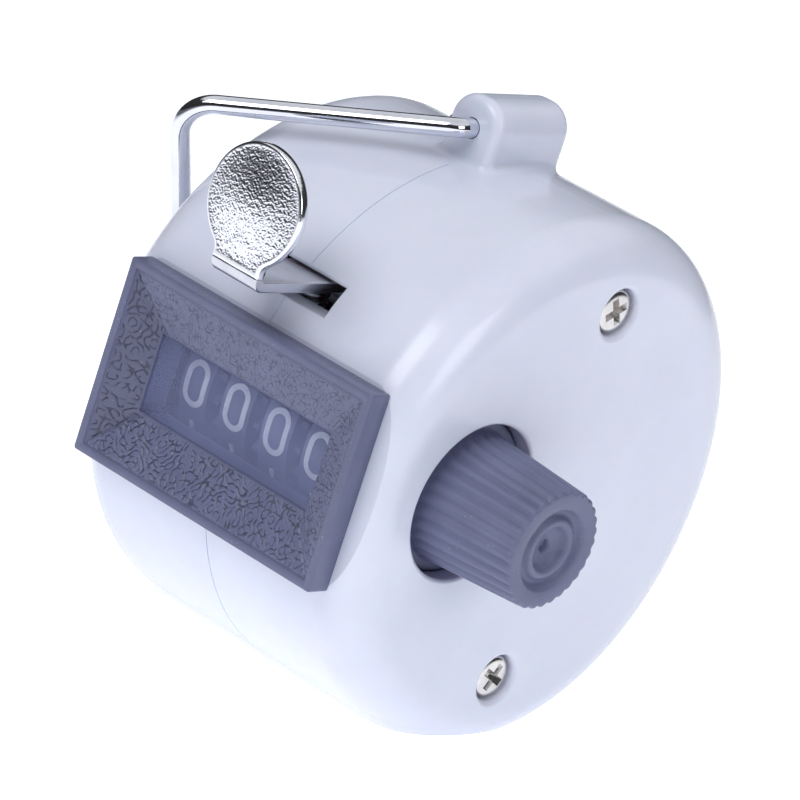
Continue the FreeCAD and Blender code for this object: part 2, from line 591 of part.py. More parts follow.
# ---------------------------------------------------------------- finger ring
def ring_route():
    """The ring's centre line: out of the lug, round the drum's shoulder, down and back."""
    cx, cy, cz = RING_CORNER
    bx, by, bz = RING_BOTTOM
    face = LUG_HALF_L + 1.5
    front = [V(0, LUG_Y - 0.6, HINGE_Z), V(0, LUG_Y - face, HINGE_Z),
             V(cx, LUG_Y - cy, AXIS_Z + cz), V(bx, LUG_Y - by, AXIS_Z + bz)]
    rear = [V(p.x, 2 * LUG_Y - p.y, p.z) for p in front[::-1]]
    return front + rear


def finger_ring():
    path = rounded_path(ring_route(), (1.3, 2.9, 5.0, 5.0, 2.9, 1.3))
    ring = wire_rod(path, WIRE_R)
    expected = math.pi * WIRE_R ** 2 * path.Length
    print("finger ring: volume", round(ring.Volume, 2), "expected", round(expected, 2))
    return ring


# ---------------------------------------------------------------- files
def save(name, shape):
    solids = shape if isinstance(shape, list) else [shape]
    solid = solids[0] if len(solids) == 1 else Part.makeCompound(solids)
    if not solid.isValid() or any(len(s.Solids) != 1 for s in solids):
        print("CHECK", name, "valid", solid.isValid(), "solids", [len(s.Solids) for s in solids])
    solid.exportStep("parts/%s.step" % name)


def main():
    os.makedirs("parts", exist_ok=True)
    save("housing_left", housing_half(-1))
    save("housing_right", housing_half(1))
    save("housing_screws", [screw(y, z) for y, z in screw_places()])
    save("window_bezel", window_bezel())
    save("window_lens", window_lens())
    for index, name in enumerate(WHEEL_NAMES):
        save("number_wheel_" + name, number_wheel(index))
        if index:
            save("transfer_pinion_" + name, transfer_pinion(index))
    save("ratchet_wheel", ratchet_wheel())
    save("wheel_shaft", wheel_shaft())
    save("shaft_clip", shaft_clip())
    save("wheel_spacer", wheel_spacer())
    save("drag_washer", drag_washer())
    save("reset_knob", reset_knob())
    save("frame_plate_left", frame_plate(PLATE_LEFT_X))
    save("frame_plate_right", frame_plate(PLATE_RIGHT_X))
    save("frame_tie_rods", tie_rods())
    save("frame_bridge", frame_bridge())
    save("pinion_shaft", pinion_shaft())
    save("lever_pivot_pin", lever_pivot_pin())
    save("detent_spring", detent_spring())
    save("thumb_lever", thumb_lever())
    save("lever_return_spring", lever_return_spring())
    save("pawl_pin", pawl_pin())
    save("drive_pawl", drive_pawl())
    save("pawl_spring", pawl_spring())
    save("finger_ring", finger_ring())


main()
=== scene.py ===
import json
import math

import bmesh
import bpy
from mathutils import Euler, Matrix, Vector, noise


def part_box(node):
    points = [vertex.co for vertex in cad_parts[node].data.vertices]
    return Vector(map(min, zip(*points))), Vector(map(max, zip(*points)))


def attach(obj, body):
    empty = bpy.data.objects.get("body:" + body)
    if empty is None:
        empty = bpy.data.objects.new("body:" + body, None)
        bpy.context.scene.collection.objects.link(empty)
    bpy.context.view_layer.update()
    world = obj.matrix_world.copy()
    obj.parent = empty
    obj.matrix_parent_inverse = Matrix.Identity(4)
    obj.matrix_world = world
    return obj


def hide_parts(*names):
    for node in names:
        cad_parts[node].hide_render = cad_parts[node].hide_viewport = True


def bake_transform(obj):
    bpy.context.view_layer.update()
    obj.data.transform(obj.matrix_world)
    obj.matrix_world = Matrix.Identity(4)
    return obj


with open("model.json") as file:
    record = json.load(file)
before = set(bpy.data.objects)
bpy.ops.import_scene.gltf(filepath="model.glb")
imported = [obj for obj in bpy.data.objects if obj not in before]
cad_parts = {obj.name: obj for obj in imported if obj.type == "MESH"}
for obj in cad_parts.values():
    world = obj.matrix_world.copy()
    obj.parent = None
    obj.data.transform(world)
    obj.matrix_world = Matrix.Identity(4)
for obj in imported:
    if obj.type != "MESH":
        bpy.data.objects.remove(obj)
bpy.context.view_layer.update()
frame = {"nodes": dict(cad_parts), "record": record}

MM = 0.001


# ================================================================ small tools
def smoothstep(low, high, x):
    t = min(1.0, max(0.0, (x - low) / (high - low)))
    return t * t * (3 - 2 * t)


def lerp(a, b, t):
    return a + (b - a) * t


def box_mm(node):
    """A CAD node's lowest and highest corners, in millimetres."""
    low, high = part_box(node)
    return low / MM, high / MM


def make_object(name, mesh):
    obj = bpy.data.objects.new(name, mesh)
    bpy.context.scene.collection.objects.link(obj)
    return obj


def make_mesh(name, verts, faces, relief=None):
    """A smooth-shaded mesh from points in millimetres. relief, one value per point, becomes an attribute."""
    mesh = bpy.data.meshes.new(name)
    mesh.from_pydata([Vector(v) * MM for v in verts], [], faces)
    if relief is not None:
        layer = mesh.attributes.new("relief", "FLOAT", "POINT")
        layer.data.foreach_set("value", relief)
    bm = bmesh.new()
    bm.from_mesh(mesh)
    bmesh.ops.remove_doubles(bm, verts=bm.verts, dist=1e-7)
    bmesh.ops.recalc_face_normals(bm, faces=bm.faces)
    bm.to_mesh(mesh)
    bm.free()
    mesh.shade_smooth()
    return mesh


def keep_creases(mesh, degrees):
    mesh.set_sharp_from_angle(angle=math.radians(degrees))


def piece(name, mesh, material, body, replaces=()):
    obj = make_object(name, mesh)
    mesh.materials.clear()
    mesh.materials.append(material)
    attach(obj, body)
    if replaces:
        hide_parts(*replaces)


def ring_faces(count, n):
    """Quads between closed rings: how many rings there are, and how many points in each."""
    faces = []
    for i in range(count - 1):
        for j in range(n):
            k = (j + 1) % n
            faces.append((i * n + j, i * n + k, (i + 1) * n + k, (i + 1) * n + j))
    return faces


# ================================================================ materials
class Nodes:
    """A material being built: node() adds a node with its settings and links."""

    def __init__(self, name):
        self.material = bpy.data.materials.new(name)
        self.material.use_nodes = True
        self.tree = self.material.node_tree
        self.shader = self.tree.nodes["Principled BSDF"]

    def node(self, kind, links=None, values=None, **settings):
        n = self.tree.nodes.new("ShaderNode" + kind)
        for key, value in settings.items():
            setattr(n, key, value)
        for key, value in (values or {}).items():
            n.inputs[key].default_value = value
        for key, value in (links or {}).items():
            self.tree.links.new(value, n.inputs[key])
        return n

    def place(self):
        return self.node("TexCoord").outputs["Object"]

    def noise(self, scale, detail=3.0, rough=0.5, place=None):
        n = self.node("TexNoise", {"Vector": place or self.place()},
                      {"Scale": scale, "Detail": detail, "Roughness": rough})
        return n.outputs["Fac"]

    def span(self, source, low, high, out_low, out_high):
        n = self.node("MapRange", {"Value": source},
                      {"From Min": low, "From Max": high, "To Min": out_low, "To Max": out_high})
        return n.outputs["Result"]

    def mix(self, factor, a, b):
        n = self.node("Mix", data_type="RGBA")
        self.tree.links.new(factor, n.inputs["Factor"])
        for socket, value in ((n.inputs["A"], a), (n.inputs["B"], b)):
            if isinstance(value, tuple):
                socket.default_value = (*value, 1)
            else:
                self.tree.links.new(value, socket)
        return n.outputs["Result"]

    def maths(self, operation, a, b):
        n = self.node("Math", operation=operation)
        for socket, value in zip(n.inputs, (a, b)):
            if isinstance(value, (int, float)):
                socket.default_value = value
            else:
                self.tree.links.new(value, socket)
        return n.outputs["Value"]

    def bump(self, height, strength, distance):
        n = self.node("Bump", {"Height": height}, {"Strength": strength, "Distance": distance})
        self.tree.links.new(n.outputs["Normal"], self.shader.inputs["Normal"])

    def feed(self, **sockets):
        for key, value in sockets.items():
            socket = self.shader.inputs[key.replace("_", " ")]
            if isinstance(value, tuple):
                socket.default_value = (*value, 1)
            elif isinstance(value, (int, float)):
                socket.default_value = value
            else:
                self.tree.links.new(value, socket)
        return self.material


def white_plastic():
    """Glossy moulded ABS with faint haze, fine handling marks and a slight waviness."""
    m = Nodes("white_plastic")
    place = m.place()
    haze = m.noise(160, 5, 0.6, place)
    marks = m.noise(2600, 2, 0.5, place)
    colour = m.mix(m.span(haze, 0.35, 0.7, 0, 1), (0.71, 0.74, 0.865), (0.745, 0.775, 0.90))
    wave = m.maths("ADD", m.noise(90, 2, 0.4, place), m.maths("MULTIPLY", marks, 0.03))
    m.bump(wave, 0.35, 0.0002)
    return m.feed(Base_Color=colour, Roughness=m.span(haze, 0.3, 0.7, 0.17, 0.27), IOR=1.49,
                  Subsurface_Weight=0.12, Subsurface_Scale=0.002, Coat_Weight=0.15, Coat_Roughness=0.08)


def violet_plastic(name, dark, light, use_relief, rough):
    """Dark satin plastic. Where the mesh has relief, its creases are painted darker, as painted shade."""
    m = Nodes(name)
    place = m.place()
    cloud = m.noise(240, 4, 0.6, place)
    speck = m.noise(5200, 2, 0.6, place)
    colour = m.mix(m.span(cloud, 0.3, 0.7, 0, 1), dark, light)
    roughness = m.span(speck, 0.3, 0.7, rough - 0.06, rough + 0.08)
    if use_relief:
        # painted shade: where the relief is low, in the creases, the colour darkens to 0.45 of the dark tone
        high = m.node("Attribute", attribute_name="relief").outputs["Fac"]
        crease_shade = tuple(c * 0.45 for c in dark)
        colour = m.mix(m.span(high, 0.0, 0.85, 0, 1), crease_shade, colour)
    dust = m.span(m.noise(5600, 1, 0.3, place), 0.76, 0.81, 0, 0.55)
    colour = m.mix(dust, colour, (0.45, 0.46, 0.56))
    m.bump(m.maths("ADD", speck, m.maths("MULTIPLY", cloud, 0.5)), 0.25, 0.00006)
    return m.feed(Base_Color=colour, Roughness=roughness, IOR=1.5)


def clear_lens():
    m = Nodes("clear_lens")
    smear = m.noise(220, 4, 0.6)
    return m.feed(Base_Color=(0.42, 0.48, 0.85), Roughness=m.span(smear, 0.3, 0.7, 0.04, 0.14),
                  Alpha=m.span(smear, 0.3, 0.7, 0.12, 0.19), IOR=1.49)


def wheel_plastic():
    m = Nodes("wheel_plastic")
    place = m.place()
    cloud = m.noise(400, 3, 0.5, place)
    colour = m.mix(m.span(cloud, 0.3, 0.7, 0, 1), (0.105, 0.118, 0.215), (0.15, 0.165, 0.275))
    m.bump(m.noise(4200, 2, 0.5, place), 0.15, 0.00005)
    return m.feed(Base_Color=colour, Roughness=0.42)


def white_ink():
    m = Nodes("white_ink")
    wear = m.span(m.noise(2400, 3, 0.6), 0.56, 0.72, 0, 0.5)
    colour = m.mix(wear, (0.88, 0.92, 1.0), (0.52, 0.56, 0.72))
    return m.feed(Base_Color=colour, Roughness=0.55)


def chrome(name, bright, dull, rough, pebbled=False):
    """Plated steel. The pebbled face is painted darker in its pits, as painted shade."""
    m = Nodes(name)
    place = m.place()
    haze = m.noise(300, 4, 0.6, place)
    colour = m.mix(m.span(haze, 0.35, 0.75, 0, 1), bright, dull)
    if pebbled:
        # painted shade: the pebbled face turns darker in the pits, following the relief
        high = m.node("Attribute", attribute_name="relief").outputs["Fac"]
        colour = m.mix(m.span(high, 0.10, 0.50, 0, 1), (0.30, 0.30, 0.36), colour)
    m.bump(m.noise(1800, 2, 0.5, place), 0.05, 0.00003)
    return m.feed(Base_Color=colour, Roughness=m.span(haze, 0.3, 0.7, rough, rough + 0.05), Metallic=1.0)


def steel(name, bright, dark, stretch):
    """Stamped or drawn steel, with fine lines along the part and a few darker stains."""
    m = Nodes(name)
    scaled = m.node("Mapping", {"Vector": m.place()}, {"Scale": stretch}).outputs["Vector"]
    lines = m.noise(1500, 3, 0.6, scaled)
    stain = m.span(m.noise(350, 4, 0.6), 0.55, 0.75, 0, 0.6)
    colour = m.mix(stain, m.mix(lines, dark, bright), tuple(c * 0.6 for c in dark))
    m.bump(lines, 0.12, 0.00004)
    return m.feed(Base_Color=colour, Roughness=m.span(lines, 0.3, 0.7, 0.24, 0.4), Metallic=1.0)


def natural_plastic():
    m = Nodes("inner_plastic")
    cloud = m.noise(300, 3, 0.5)
    return m.feed(Base_Color=m.mix(cloud, (0.62, 0.60, 0.55), (0.72, 0.70, 0.64)), Roughness=0.4,
                  Subsurface_Weight=0.1, Subsurface_Scale=0.001)


FLOOR_AHEAD = (-0.72, -0.69, 0.0)      # the floor is painted dark this way too, painted shade that gives the chrome something dark to reflect


def floor_paint():
    """A white table that glows by its own emission in the middle, as painted light, and is painted dark away
    from the middle and ahead, as painted shade.
    """
    m = Nodes("floor_paper")
    place = m.place()
    grain = m.noise(900, 3, 0.6, place)
    reach = m.node("VectorMath", {0: place}, operation="LENGTH").outputs["Value"]
    ahead = m.node("VectorMath", {0: place}, {1: FLOOR_AHEAD}, operation="DOT_PRODUCT").outputs["Value"]
    # painted shade: this mask darkens the floor far from the middle and ahead
    far = m.maths("MAXIMUM", m.span(reach, 0.65, 1.4, 0, 1), m.span(ahead, 0.10, 0.20, 0, 0.96))
    white = m.mix(grain, (0.90, 0.91, 0.95), (0.93, 0.94, 0.97))
    # painted light: the floor glows by its own emission, brightest in the middle
    glow = m.span(far, 0, 1, 0.51, 0.0)
    return m.feed(Base_Color=m.mix(far, white, (0.10, 0.10, 0.12)), Roughness=0.85,
                  Emission_Color=(0.96, 0.97, 1.0), Emission_Strength=glow)


# ================================================================ camera, light and floor
def make_camera():
    data = bpy.data.cameras.new("camera")
    data.sensor_width = 36.0
    data.lens = 250.1
    data.clip_start, data.clip_end = 0.05, 10.0
    cam = make_object("camera", data)
    cam.location = Vector((0.24213, -0.31612, 0.13557))
    cam.rotation_euler = Euler([math.radians(a) for a in (73.079, -17.400, 42.837)])
    bpy.context.scene.camera = cam


def area_light(name, place, aim, size, power, colour):
    data = bpy.data.lights.new(name, "AREA")
    data.shape = "RECTANGLE"
    data.size, data.size_y = size
    data.energy = power
    data.color = colour
    light = make_object(name, data)
    light.location = place
    light.rotation_euler = (Vector(aim) - Vector(place)).to_track_quat("-Z", "Y").to_euler()


def make_world():
    """A studio: bright overhead, with a dark band above the horizon that chrome can reflect."""
    world = bpy.data.worlds.new("studio")
    bpy.context.scene.world = world
    world.use_nodes = True
    tree = world.node_tree
    place = tree.nodes.new("ShaderNodeTexCoord")
    split = tree.nodes.new("ShaderNodeSeparateXYZ")
    ramp = tree.nodes.new("ShaderNodeValToRGB")
    tree.links.new(place.outputs["Generated"], split.inputs[0])
    tree.links.new(split.outputs["Z"], ramp.inputs["Fac"])
    stops = ((0.0, 0.05), (0.02, 0.03), (0.56, 0.04), (0.68, 0.84), (0.80, 0.84), (1.0, 0.72))
    while len(ramp.color_ramp.elements) < len(stops):
        ramp.color_ramp.elements.new(0.5)
    for element, (at, level) in zip(ramp.color_ramp.elements, stops):
        element.position = at
        element.color = (level * 0.95, level * 0.97, level, 1)
    background = tree.nodes["Background"]
    tree.links.new(ramp.outputs["Color"], background.inputs["Color"])
    background.inputs["Strength"].default_value = 1.0


def make_stage():
    half = 6.0
    mesh = bpy.data.meshes.new("floor")
    corners = [(-half, -half, 0), (half, -half, 0), (half, half, 0), (-half, half, 0)]
    mesh.from_pydata(corners, [], [(0, 1, 2, 3)])
    mesh.materials.append(floor_paint())
    floor = make_object("floor", mesh)
    floor.location.z = -0.00005


# ================================================================ window bezel
BEZEL_RIM = 0.7
RIM_STEP = 0.15
SLOPE_DEPTH = 1.5
OPENING = (8.8, 3.05)           # half width and half height
NECK_WALL = 1.2
PLATE_T = 2.0
NECK_BACK = 4.5
LENS_SEAT, LENS_EDGE = 1.7, 0.22    # depth of the lens, and how far its pocket goes past the opening
LONG_N, SHORT_N, SLOPE_N = 400, 240, 56     # mesh steps along the sides and down the slopes
PLAIN = 0.8                     # the relief value of the faces without grain
WAVES = 14
GRAIN_SEED = 1794943481         # Blender seeds noise_vector by the clock unless a script sets the seed


def worm(x, z, length, seed):
    """Leather-like relief: thin broken creases, 0, between raised worms, 1. length is two worms, in mm."""
    p = Vector((x, z, seed))
    p = p + noise.noise_vector(p * 0.9) * 0.16
    total = 0.0
    for k in range(WAVES):
        a = math.pi * (k + 0.4 * math.sin(5.1 * k + seed)) / WAVES
        total += math.cos((p.x * math.cos(a) + p.y * math.sin(a)) * 2 * math.pi / length + 2.7 * k * k + seed)
    total /= math.sqrt(WAVES / 2)
    fine = noise.noise(p * 5.0) * 0.12
    broken = smoothstep(-0.38, -0.05, noise.noise(p * 2.3 + Vector((9.0, 4.0, 0.0))))
    return 1 - broken * (1 - smoothstep(0.05, 0.62, abs(total + fine)))


def slope_grain(x, rise, half_w, half_h):
    """The relief and its height on whichever slope the point is. The left slope's relief is halved, which
    paints it the darkest, as painted shade.
    """
    sideways = half_w - abs(x) < half_h - abs(rise)
    if sideways and x < 0:
        # painted shade: the left slope's relief is halved so its colour comes out darker
        return 0.5 * worm(x, rise, 0.80, 4.2), 0.20
    if sideways:
        return 0.2 + 0.8 * worm(x, rise, 0.56, 7.9), 0.08
    if rise > 0:
        return 0.2 + 0.7 * worm(x, rise, 0.54, 2.6), 0.07
    return worm(x, rise, 0.72, 1.3), 0.13


def rounded_rectangle(half_w, half_h, corner, y, centre_z, long_n, short_n, corner_n=4):
    ring = []
    corners = ((1, 1, 0, long_n), (-1, 1, 90, short_n), (-1, -1, 180, long_n), (1, -1, 270, short_n))
    for index, (sx, sz, turn, side_n) in enumerate(corners):
        cx, cz = sx * (half_w - corner), sz * (half_h - corner)
        for k in range(corner_n + 1):
            a = math.radians(turn + 90 * k / corner_n)
            ring.append((cx + corner * math.cos(a), y, centre_z + cz + corner * math.sin(a)))
        nx, nz, after = corners[(index + 1) % 4][:3]
        a = math.radians(after)
        start = ring[-1]
        end_x = nx * (half_w - corner) + corner * math.cos(a)
        end_z = centre_z + nz * (half_h - corner) + corner * math.sin(a)
        for k in range(1, side_n):
            t = k / side_n
            ring.append((lerp(start[0], end_x, t), y, lerp(start[2], end_z, t)))
    return ring


def window_bezel(material):
    noise.seed_set(GRAIN_SEED)
    low, high = box_mm("window_bezel")
    half_w, half_h = (high.x - low.x) / 2, (high.z - low.z) / 2
    face, centre_z = low.y, (low.z + high.z) / 2
    neck = (OPENING[0] + NECK_WALL, OPENING[1] + NECK_WALL)
    rings = []      # (half width, half height, corner radius, depth, how strong the relief is)

    def add(w, h, corner, depth, relief=0.0):
        rings.append((w, h, corner, depth, relief))

    add(neck[0], neck[1], 0.1, NECK_BACK)
    add(neck[0], neck[1], 0.1, PLATE_T)
    add(half_w - 0.05, half_h - 0.05, 0.15, PLATE_T)
    add(half_w, half_h, 0.2, PLATE_T - 0.05)
    edge = 0.12
    for k in range(5):
        a = math.radians(90 * k / 4)
        inset = edge * (1 - math.cos(a))
        add(half_w - inset, half_h - inset, 0.2, edge * (1 - math.sin(a)))
    inner_w, inner_h = half_w - BEZEL_RIM, half_h - BEZEL_RIM
    add(inner_w + 0.08, inner_h + 0.08, 0.15, 0.0)
    add(inner_w + 0.02, inner_h + 0.02, 0.12, 0.04)
    add(inner_w, inner_h, 0.10, RIM_STEP)
    for k in range(SLOPE_N + 1):
        t = k / SLOPE_N
        fade = smoothstep(0.0, 0.05, t) * (1 - smoothstep(0.95, 1.0, t))
        add(lerp(inner_w - 0.06, OPENING[0] + 0.04, t), lerp(inner_h - 0.06, OPENING[1] + 0.04, t), 0.06,
            lerp(RIM_STEP + 0.02, SLOPE_DEPTH, t), fade)
    add(OPENING[0], OPENING[1], 0.05, SLOPE_DEPTH + 0.08)
    add(OPENING[0], OPENING[1], 0.05, LENS_SEAT - 0.02)
    add(OPENING[0] + LENS_EDGE, OPENING[1] + LENS_EDGE, 0.05, LENS_SEAT - 0.02)
    add(OPENING[0] + LENS_EDGE, OPENING[1] + LENS_EDGE, 0.05, NECK_BACK)
    verts, relief = [], []
    for w, h, corner, depth, strength in rings:
        for x, y, z in rounded_rectangle(w, h, corner, face + depth, centre_z, LONG_N, SHORT_N):
            bumps, tall = slope_grain(x, z - centre_z, half_w, half_h) if strength > 0 else (PLAIN, 0.0)
            verts.append((x, y - tall * strength * bumps, z))
            relief.append(lerp(PLAIN, bumps, strength))
    n = len(verts) // len(rings)
    faces = ring_faces(len(rings), n)
    last = (len(rings) - 1) * n
    faces += [(last + j, last + (j + 1) % n, (j + 1) % n, j) for j in range(n)]
    mesh = make_mesh("window_bezel_grained", verts, faces, relief)
    keep_creases(mesh, 50)
    piece("window_bezel_grained", mesh, material, "case", ("window_bezel",))


# ================================================================ numerals
INK, SUNK = 0.03, -0.02     # heights of the ink's top, and of its edge under the wheel's surface
LAYER = 0.002               # a digit's second stroke stands this much higher, where the two cross
STROKE = 0.23               # half the stroke's width
DIGIT_W, DIGIT_H = 0.88, 1.62       # half width and half height of the stroke's centre line
PRINT_DROP = 0.3            # the numerals sit a little below the wheel's middle
RIM_HALF = 1.45
GEAR_W = 0.6


def arc(cx, cy, rx, ry, start, end, n=20):
    out = []
    for k in range(n + 1):
        a = math.radians(lerp(start, end, k / n))
        out.append((cx + rx * math.cos(a), cy + ry * math.sin(a)))
    return out


def digit_strokes(digit):
    """Centre lines of a plain numeral: a list of (points, closed)."""
    w, h = DIGIT_W, DIGIT_H
    flat = h - w
    strokes = {
        0: [(arc(0, flat, w, w, 0, 180) + arc(0, -flat, w, w, 180, 360), True)],
        1: [([(0, h - 0.25), (0, -h)], False)],
        2: [(arc(0, flat, w, w, 165, -35) + [(-w, -h), (w, -h)], False)],
        3: [(arc(0, h / 2, w * 0.92, h / 2, 150, -90) + arc(0, -h / 2, w, h / 2, 90, -150), False)],
        4: [([(0.42, -h), (0.42, h), (-w, -0.65), (w, -0.65)], False)],
        5: [([(w * 0.9, h), (-w * 0.8, h), (-w * 0.9, 0.15)] + arc(-0.05, -0.62, w, 1.0, 130, -140), False)],
        6: [(arc(0, -0.62, w, 1.0, 180, 540), True), (arc(0.35, -0.5, w + 0.35, h + 0.5, 175, 95), False)],
        7: [([(-w, h), (w, h), (-0.3, -h)], False)],
        8: [(arc(0, h / 2 + 0.03, w * 0.86, h / 2 - 0.03, 0, 360), True),
            (arc(0, -h / 2, w, h / 2, 0, 360), True)],
        9: [(arc(0, 0.62, w, 1.0, 0, 360), True), (arc(-0.35, 0.5, w + 0.35, h + 0.5, -5, -85), False)],
    }
    return strokes[digit]


def finer(points, closed, step=0.12):
    """The same line with extra points, so it follows the wheel's curve."""
    out = []
    ends = points[1:] + (points[:1] if closed else [])
    for a, b in zip(points, ends):
        count = max(1, int(math.dist(a, b) / step))
        out += [(lerp(a[0], b[0], k / count), lerp(a[1], b[1], k / count)) for k in range(count)]
    return out if closed else out + [points[-1]]


def ribbon(points, closed, half_w):
    """The left and right edges of a stroke along the points."""
    if closed and (Vector(points[0]) - Vector(points[-1])).length < 1e-6:
        points = points[:-1]
    n = len(points)
    left, right = [], []
    for k in range(n):
        p = Vector(points[k])
        before = Vector(points[(k - 1) % n]) if closed or k > 0 else None
        after = Vector(points[(k + 1) % n]) if closed or k < n - 1 else None
        d1 = (p - before).normalized() if before is not None and (p - before).length > 1e-6 else None
        d2 = (after - p).normalized() if after is not None and (after - p).length > 1e-6 else None
        d1, d2 = d1 or d2, d2 or d1
        along = (d1 + d2).normalized() if (d1 + d2).length > 1e-3 else d1
        side = Vector((-along.y, along.x))
        reach = half_w / max(0.5, side.dot(Vector((-d2.y, d2.x))))
        left.append(p + side * reach)
        right.append(p - side * reach)
    return left, right


def numerals(name, body, material):
    """The ten numerals printed round one wheel, 0 at the front and 1 below it."""
    low, high = box_mm("number_wheel_" + name)
    radius = (high.z - low.z) / 2
    centre_y, centre_z = (low.y + high.y) / 2, (low.z + high.z) / 2
    centre_x = high.x - RIM_HALF - (0 if name == "units" else GEAR_W)
    verts, faces = [], []

    def put(x, s, lift):
        a = s / radius
        r = radius + lift
        verts.append((centre_x + x, centre_y - r * math.cos(a), centre_z + r * math.sin(a)))
        return len(verts) - 1

    for digit in range(10):
        middle = -digit * math.radians(36) * radius - PRINT_DROP
        for layer, (points, closed) in enumerate(digit_strokes(digit)):
            left, right = ribbon(finer(points, closed), closed, STROKE)
            top = INK + LAYER * layer
            rows = []
            for p, q in zip(left, right):
                profile = ((p, SUNK), (p, top), (q, top), (q, SUNK))
                rows.append([put(v.x, middle + v.y, lift) for v, lift in profile])
            count = len(rows)
            for k in range(count if closed else count - 1):
                a, b = rows[k], rows[(k + 1) % count]
                faces += [(a[i], a[i + 1], b[i + 1], b[i]) for i in range(3)]
            if not closed:
                faces += [tuple(rows[0]), tuple(rows[-1])]
    mesh = make_mesh("numerals_" + name, verts, faces)
    keep_creases(mesh, 40)
    piece("numerals_" + name, mesh, material, body)


# ================================================================ reset knob
FLANGE_EXTRA = 0.15         # closes most of the gap in the case's hole


def reset_knob(material):
    low, high = box_mm("reset_knob")
    centre_y, centre_z = (low.y + high.y) / 2, (low.z + high.z) / 2
    flange_r = (high.y - low.y) / 2 + FLANGE_EXTRA
    left, tip = low.x, high.x
    flange_x = left + 2.05
    flange_round = 0.25
    base_r, tip_r, ribs, depth = 5.2, 4.62, 30, 0.22
    rows = [(left, 1.3, 0), (left, flange_r - 0.2, 0), (left + 0.2, flange_r, 0)]
    rows.append((flange_x - flange_round, flange_r, 0))
    for k in range(1, 5):
        a = math.radians(90 * k / 4)
        rows.append((flange_x - flange_round * (1 - math.sin(a)),
                     flange_r - flange_round * (1 - math.cos(a)), 0))
    rows += [(flange_x, base_r + 0.22, 0), (flange_x + 0.06, base_r + 0.06, 0.15)]
    steps = 30
    for k in range(steps + 1):
        t = k / steps
        rows.append((lerp(flange_x + 0.2, tip - 0.16, t), lerp(base_r, tip_r, t), smoothstep(-0.02, 0.08, t)))
    rows += [(tip - 0.05, tip_r - 0.06, 0.9), (tip, tip_r - 0.17, 0.55), (tip, tip_r - 0.42, 0.0),
             (tip, 3.32, 0), (tip - 0.06, 3.20, 0), (tip - 0.25, 3.06, 0), (tip - 0.48, 2.94, 0),
             (tip - 0.58, 2.78, 0), (tip - 0.58, 2.62, 0), (tip - 0.50, 2.46, 0), (tip - 0.30, 2.34, 0),
             (tip - 0.22, 2.24, 0), (tip - 0.2, 2.14, 0), (tip - 0.2, 1.92, 0), (tip - 0.26, 1.80, 0),
             (tip - 0.45, 1.68, 0), (tip - 0.70, 1.54, 0), (tip - 0.82, 1.36, 0), (tip - 0.86, 0.62, 0),
             (tip - 0.94, 0.50, 0), (tip - 1.30, 0.40, 0), (tip - 1.36, 0.0, 0)]
    per_rib = 14
    around = ribs * per_rib
    verts = []
    for x, r, rib in rows:
        for k in range(around):
            a = 2 * math.pi * k / around
            crest = abs(math.sin(a * ribs / 2)) ** 1.2
            rr = r - depth * rib * (1 - crest)
            verts.append((x, centre_y + rr * math.cos(a), centre_z + rr * math.sin(a)))
    faces = ring_faces(len(rows), around)
    mesh = make_mesh("reset_knob_ribbed", verts, faces)
    keep_creases(mesh, 55)
    piece("reset_knob_ribbed", mesh, material, "knob_and_shaft", ("reset_knob",))


# ================================================================ finger ring
def rounded_path(points, radii, step):
    """Points along straight runs joined by tangent arcs."""
    points = [Vector(p) for p in points]
    route = [points[0]]
    for before, corner, after, r in zip(points, points[1:], points[2:], radii):
        into, out = (corner - before).normalized(), (after - corner).normalized()
        half = into.angle(out) / 2
        start = corner - into * r * math.tan(half)
        centre = corner + (out - into).normalized() * (r / math.cos(half))
        normal = into.cross(out).normalized()
        count = max(4, int(2 * half * r / step))
        for k in range(count + 1):
            turn = Matrix.Rotation(2 * half * k / count, 3, normal)
            route.append(centre + turn @ (start - centre))
    route.append(points[-1])
    return route


def tube_mesh(name, route, radius, around=36):
    verts = []
    side = (route[1] - route[0]).orthogonal().normalized()
    for k, p in enumerate(route):
        ahead = route[min(k + 1, len(route) - 1)] - route[max(k - 1, 0)]
        ahead.normalize()
        side = (side - ahead * side.dot(ahead)).normalized()
        other = ahead.cross(side)
        for j in range(around):
            a = 2 * math.pi * j / around
            verts.append(p + (side * math.cos(a) + other * math.sin(a)) * radius)
    faces = ring_faces(len(route), around)
    faces += [tuple(range(around)), tuple(range(len(verts) - around, len(verts)))]
    mesh = make_mesh(name, verts, faces)
    keep_creases(mesh, 60)
    return mesh


def finger_ring(material):
    """The bent wire: out of the lug, down the case's left shoulder, across and back."""
    low, high = box_mm("finger_ring")
    wire = 0.75
    middle_y = (low.y + high.y) / 2
    hinge_z = high.z - wire
    half_l, left_x = 4.25, -17.3
    front = [(0, middle_y - 0.6, hinge_z), (0, middle_y - half_l - 1.5, hinge_z),
             (left_x, middle_y - 16.1, hinge_z - 5.2), (left_x, middle_y - 9.1, hinge_z - 20.9)]
    rear = [(x, 2 * middle_y - y, z) for x, y, z in front[::-1]]
    route = rounded_path(front + rear, (1.3, 2.9, 5.0, 5.0, 2.9, 1.3), 0.15)
    mesh = tube_mesh("finger_ring_wire", route, wire)
    piece("finger_ring_wire", mesh, material, "ring", ("finger_ring",))


# ================================================================ return spring
def return_spring(material):
    """The coil under the lever's arm, built in place and attached to no body."""
    low, high = box_mm("lever_return_spring")
    wire, turns, steps = 0.2, 4, 160
    coil = (high.x - low.x) / 2 - wire
    centre_x, centre_y = (low.x + high.x) / 2, (low.y + high.y) / 2
    route = []
    for k in range(steps + 1):
        a = 2 * math.pi * turns * k / steps
        z = lerp(low.z + wire, high.z - wire, k / steps)
        route.append(Vector((centre_x + coil * math.cos(a), centre_y + coil * math.sin(a), z)))
    spring = make_object("return_spring_coil", tube_mesh("return_spring_coil", route, wire, 12))
    spring.data.materials.append(material)
    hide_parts("lever_return_spring")
    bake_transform(spring)


# ================================================================ screws
SCREW_R = 1.67


